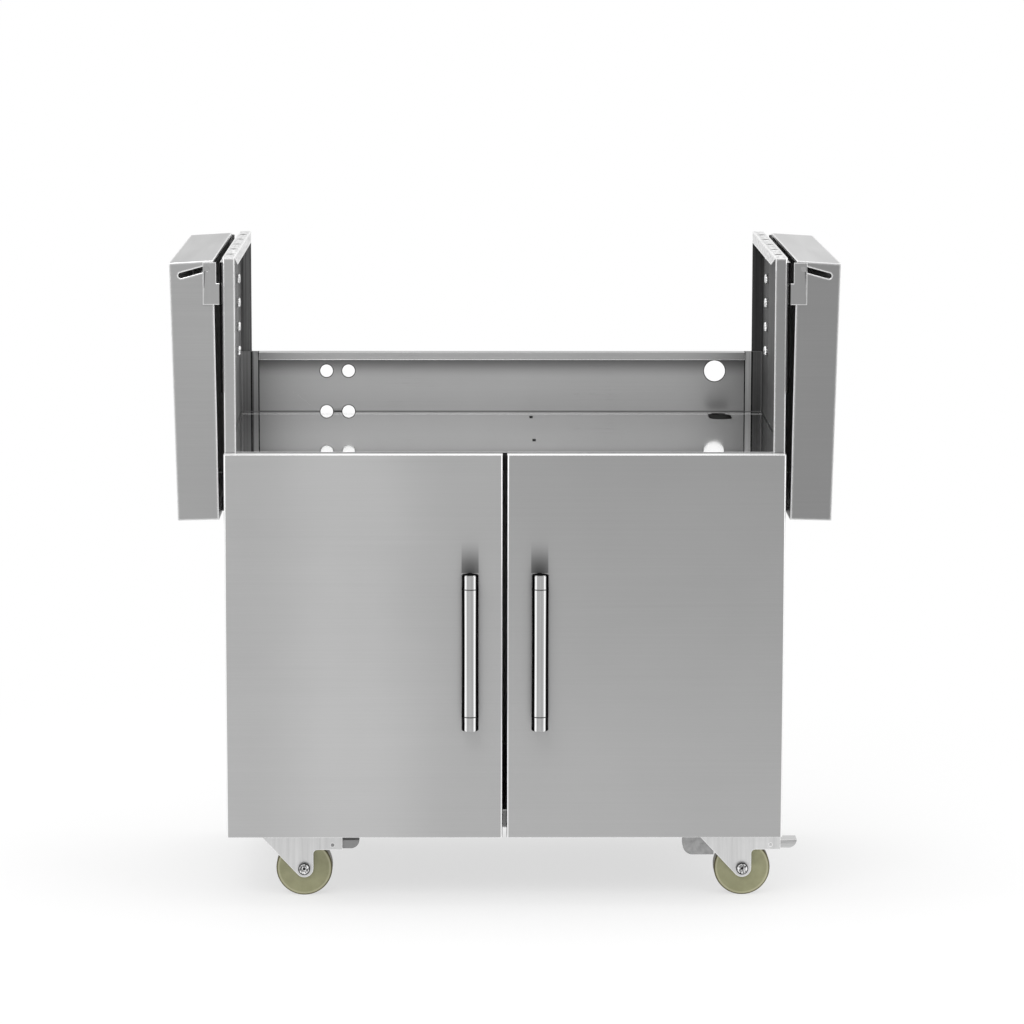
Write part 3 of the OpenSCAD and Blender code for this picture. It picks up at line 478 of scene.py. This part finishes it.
def wing_hole_shade(g):
    """Dark painted shade round the holes of the top flange."""
    x, y, z = g.axes()
    along = g.math("PINGPONG", g.math("SUBTRACT", y, flange_hole_y), flange_hole_pitch / 2)
    reach = g.distance(along, g.math("ABSOLUTE", x), 0.0, flange_hole_x)
    return g.product(g.math("LESS_THAN", reach, 0.0056),
                     g.math("GREATER_THAN", z, wing_top - 0.0015))


def shelf_shade(top):
    """Painted light: the folded shelf's root wall looks up and is painted paler."""
    def shade(g):
        return g.remap(g.facing()[2], 0.5, 0.9, 1.0, top)
    return shade


def bracket_bend_shade(g):
    """Painted shadow on the brackets' front edges and bends, close to the side panels."""
    return g.product(g.math("LESS_THAN", g.math("ABSOLUTE", g.axes()[0]), wing_x + 0.0037),
                     g.math("LESS_THAN", g.facing()[1], -0.3))


def pin_spot(g):
    """The brackets round the shelf pins, which are set flush."""
    x, _, z = g.axes()
    return g.math("LESS_THAN", g.distance(g.math("ABSOLUTE", x), z, pin_x, pin_z), pin_r + 0.0022)


def deck_painted_shade(g):
    """Painted shade over all of the deck below its top face."""
    return g.math("LESS_THAN", g.axes()[2], deck_z - hair), 0.003, 0.008


def deck_highlight_line(g):
    """A painted highlight line along the deck, a little way from the back panel."""
    return g.math("MULTIPLY", g.near(g.axes()[1], back_face - 0.03095, 0.0075), 0.5)


# The finishes. Those of the left and right side differ in tone, as in the photograph; the
# difference is painted light and shade.
made = {
    "door_left": sheet_steel("door_steel_left", 0.375, 0.36, along_x, 0.7,
                             shade=door_shade(0.97, 1.10), marks=door_gap_shade, edge_width=0.0009,
                             painted_lit=looks_up),
    "door_right": sheet_steel("door_steel_right", 0.375, 0.36, along_x, 0.7,
                              shade=door_shade(0.87, 1.12), marks=door_gap_shade, edge_width=0.0009,
                              painted_lit=looks_up),
    "wing_left": sheet_steel("wing_steel_left", 0.365, 0.34, along_x, 0.5, shade=wing_shade(2.1),
                             hidden=wing_painted_shade(0.025, 0.19), marks=wing_hole_shade),
    "wing_right": sheet_steel("wing_steel_right", 0.25, 0.34, along_x, 0.5, shade=wing_shade(3.1),
                              hidden=wing_painted_shade(0.003, 0.034), marks=wing_hole_shade),
    "shelf_left": sheet_steel("shelf_steel_left", 0.345, 0.34, along_x, 0.5,
                              shade=shelf_shade(1.15)),
    "shelf_right": sheet_steel("shelf_steel_right", 0.255, 0.34, along_x, 0.5,
                               shade=shelf_shade(1.85)),
    "back": sheet_steel("back_steel", 0.33, 0.32, along_x, 0.5, shade=back_shade,
                        marks=back_marks, edge_width=0.0014, plain=back_plain),
    "post": sheet_steel("post_steel", 0.20, 0.34, tall, shade=post_shade, rim=0.2, spread=0.2,
                        edge_width=0.0005),
    "deck": sheet_steel("deck_steel", 0.93, 0.045, flat_x, hidden=deck_painted_shade, spread=0.01,
                        bump=0.004, edge_width=0.0008, painted_lit=deck_highlight_line),
    "inner": sheet_steel("inner_steel", 0.34, 0.42, flat_x),
    # The front rail is painted black as shade, where it shows in the gap between the doors
    "rail": shade_dark_steel("rail_steel", 0.008, 0.024),
    "bracket_left": sheet_steel("bracket_steel_left", 0.365, 0.34, tall, marks=bracket_bend_shade,
                                edge_width=0.0018, plain=pin_spot),
    "bracket_right": sheet_steel("bracket_steel_right", 0.29, 0.34, tall, marks=bracket_bend_shade,
                                 edge_width=0.0018, plain=pin_spot),
    "hinge": sheet_steel("hinge_steel", 0.34, 0.34, tall),
    "handle": handle_steel("handle_steel", handle_joints),
    "rivet": plated("rivet_steel", 0.03, 0.4, 300.0),
    "fastener": plated("fastener_steel", 0.58, 0.2, 300.0),
    "screw_head": plated("screw_head_steel", 0.8, 0.3, 260.0, 0.25),
    "pin": plated("pin_steel", 0.345, 0.34, 300.0, 0.04),
    "zinc": plated("zinc_plate", 0.65, 0.36, (130.0, 130.0, 5.0), 0.12, rim=0.97,
                   edge_width=0.0018),
    # The two brake pedals are lit and shaded copies of one part: painted light and shade
    "pedal": plated("pedal_steel", 0.30, 0.42, 90.0, 0.12, rim=0.1),
    "bright_pedal": plated("bright_pedal_steel", 0.55, 0.3, (9.0, 9.0, 260.0), 0.35, rim=0.9),
    "guard": plated("guard_steel", 0.36, 0.42, 110.0, 0.25, rim=0.1),
    "plastic": moulded("catch_plastic", (0.02, 0.02, 0.02), (0.04, 0.04, 0.04), 0.5),
    "rubber": moulded("bumper_rubber", (0.015, 0.015, 0.015), (0.03, 0.03, 0.03), 0.7),
}

# The nodes that each finish is for, by their names without the place at the end
dress = {
    "door_left": ["door_skin_left"], "door_right": ["door_skin_right"],
    "wing_left": ["side_panel_left"], "wing_right": ["side_panel_right"],
    "shelf_left": ["shelf_pan_left"], "shelf_right": ["shelf_pan_right"],
    "back": ["back_panel"], "post": ["corner_angles"], "deck": ["deck"],
    "inner": ["deck_stiffener", "cabinet_floor", "base_channel", "door_liner", "shelf_stiffener"],
    "rail": ["front_rail"],
    "bracket_left": ["shelf_brackets_left"], "bracket_right": ["shelf_brackets_right"],
    "hinge": ["hinge_brackets", "hinge_blocks", "strike_plate"],
    "handle": ["handle_bar", "handle_ends"],
    "rivet": ["deck_rivets"],
    "fastener": ["hinge_pins", "hinge_screws", "handle_screws", "caster_bolts", "kingpins"],
    "screw_head": ["bracket_screws"], "pin": ["shelf_pins"],
    "zinc": ["caster_plate", "fork"], "pedal": ["brake_pedal_left"],
    "bright_pedal": ["brake_pedal_right"], "guard": ["fork_guard_right"],
    "plastic": ["magnetic_catches"], "rubber": ["shelf_bumpers"],
}
places = ("", "_left", "_right", "_front_left", "_front_right", "_rear_left", "_rear_right")
# Wheels and axles get a look of their own each, because its rings follow the axle
for name in sorted(nodes):
    for start, make in (("wheel_", nylon), ("axle_", axle_steel)):
        if name.startswith(start):
            (x0, radius), (z0, _) = middle(name, 0), middle(name, 2)
            made[name] = make(name + "_look", x0, z0, radius)
            dress[name] = [name]
material_of = {stem + place: key for key, stems in dress.items() for stem in stems
               for place in places if stem + place in nodes}
missing = sorted(set(nodes) - set(material_of))
if missing:
    raise RuntimeError("no material for " + ", ".join(missing))
for name, key in material_of.items():
    obj = nodes[name]
    obj.data.materials.clear()
    obj.data.materials.append(made[key].material)

# Folded and machined edges are eased a little, so that they catch the light. The deck is left
# as it is, because bevels show as bright slivers in a surface as clear as a mirror.
for name, obj in nodes.items():
    if name == "deck":
        continue
    weld = obj.modifiers.new("join", "WELD")
    weld.merge_threshold = 0.00001
    ease = obj.modifiers.new("ease", "BEVEL")
    ease.width = bevel_width
    ease.segments = 2
    ease.limit_method = "ANGLE"
    ease.angle_limit = math.radians(40)
    ease.use_clamp_overlap = True


def area(name, place, aim, width, height, watts):
    light = bpy.data.lights.new(name, "AREA")
    light.shape = "RECTANGLE"
    light.size, light.size_y, light.energy = width, height, watts
    obj = bpy.data.objects.new(name, light)
    scene.collection.objects.link(obj)
    obj.location = place
    obj.rotation_euler = (Vector(aim) - Vector(place)).to_track_quat("-Z", "Y").to_euler()


area("key", (-1.2, -3.2, 3.0), (0, 0, 0.5), 2.2, 1.6, 42)
area("fill", (2.4, -2.4, 2.2), (0, 0, 0.5), 1.6, 1.6, 14)
area("top", (0, 0.4, 3.4), (0, 0, 0.6), 2.0, 2.0, 26)


def shown_white(tree):
    """1 for the rays that see the background: camera, glossy and transmission rays."""
    path = tree.nodes.new("ShaderNodeLightPath")
    total = path.outputs["Is Camera Ray"]
    for key in ("Is Glossy Ray", "Is Transmission Ray"):
        either = tree.nodes.new("ShaderNodeMath")
        either.operation = "MAXIMUM"
        tree.links.new(total, either.inputs[0])
        tree.links.new(path.outputs[key], either.inputs[1])
        total = either.outputs[0]
    return total


world = bpy.data.worlds.new("studio")
scene.world = world
world.use_nodes = True
tree = world.node_tree
tree.nodes.clear()
soft = tree.nodes.new("ShaderNodeBackground")
soft.inputs["Strength"].default_value = 0.85
white = tree.nodes.new("ShaderNodeBackground")
white.inputs["Strength"].default_value = 1.0
for node in (soft, white):
    node.inputs["Color"].default_value = (1, 1, 1, 1)
mixed = tree.nodes.new("ShaderNodeMixShader")
tree.links.new(shown_white(tree), mixed.inputs[0])
tree.links.new(soft.outputs[0], mixed.inputs[1])
tree.links.new(white.outputs[0], mixed.inputs[2])
world_out = tree.nodes.new("ShaderNodeOutputWorld")
tree.links.new(mixed.outputs[0], world_out.inputs["Surface"])

half = 30.0                     # half the side of the floor
floor_mesh = bpy.data.meshes.new("floor")
floor_mesh.from_pydata([(-half, -half, 0), (half, -half, 0), (half, half, 0), (-half, half, 0)],
                       [], [(0, 1, 2, 3)])
floor = bpy.data.objects.new("floor", floor_mesh)
scene.collection.objects.link(floor)
floor_look = Graph("floor_paint")
haze = floor_look.noise(0.8, 2.0)
floor_look.set(Base_Color=floor_look.blend(haze, (0.94, 0.94, 0.94), (0.96, 0.96, 0.96)),
               Roughness=0.9)
floor_look.shader.inputs["Specular IOR Level"].default_value = 0.0
# A faint shadow stays round the object, and further out the floor runs into the white background
shadow_reach, white_reach, least_white = 0.55, 1.7, 0.62
length = floor_look.add("ShaderNodeVectorMath", operation="LENGTH")
floor_look.link(floor_look.place, length.inputs[0])
far = floor_look.remap(length.outputs["Value"], shadow_reach, white_reach, least_white, 1.0,
                       smooth=True)
glow = floor_look.add("ShaderNodeEmission")
glow.inputs["Strength"].default_value = 1.0
faded = floor_look.add("ShaderNodeMixShader")
floor_look.link(floor_look.product(far, shown_white(floor_look.tree)), faded.inputs[0])
floor_look.link(floor_look.shader.outputs["BSDF"], faded.inputs[1])
floor_look.link(glow.outputs[0], faded.inputs[2])
floor_look.link(faded.outputs[0], floor_look.out.inputs["Surface"])
floor_mesh.materials.append(floor_look.material)

# The camera's place, angles and focal length come from a fit to edges in the photograph
camera_place = Vector((-0.0602, -5.9299, 1.4191))
pitch, yaw, roll = math.radians(8.525), math.radians(0.702), math.radians(0.101)
focal_px, image_px = 4140.2, 1024
forward = Vector((math.sin(yaw) * math.cos(pitch), math.cos(yaw) * math.cos(pitch),
                  -math.sin(pitch)))
level = Vector((math.cos(yaw), -math.sin(yaw), 0))
upright = level.cross(forward)
right = level * math.cos(roll) + upright * math.sin(roll)
up = upright * math.cos(roll) - level * math.sin(roll)
camera_data = bpy.data.cameras.new("camera")
camera_data.sensor_width = 36.0
camera_data.lens = focal_px / image_px * camera_data.sensor_width
camera_data.clip_start, camera_data.clip_end = 0.1, 100
camera = bpy.data.objects.new("camera", camera_data)
scene.collection.objects.link(camera)
camera.matrix_world = Matrix((
    (right.x, up.x, -forward.x, camera_place.x),
    (right.y, up.y, -forward.y, camera_place.y),
    (right.z, up.z, -forward.z, camera_place.z),
    (0, 0, 0, 1)))
scene.camera = camera
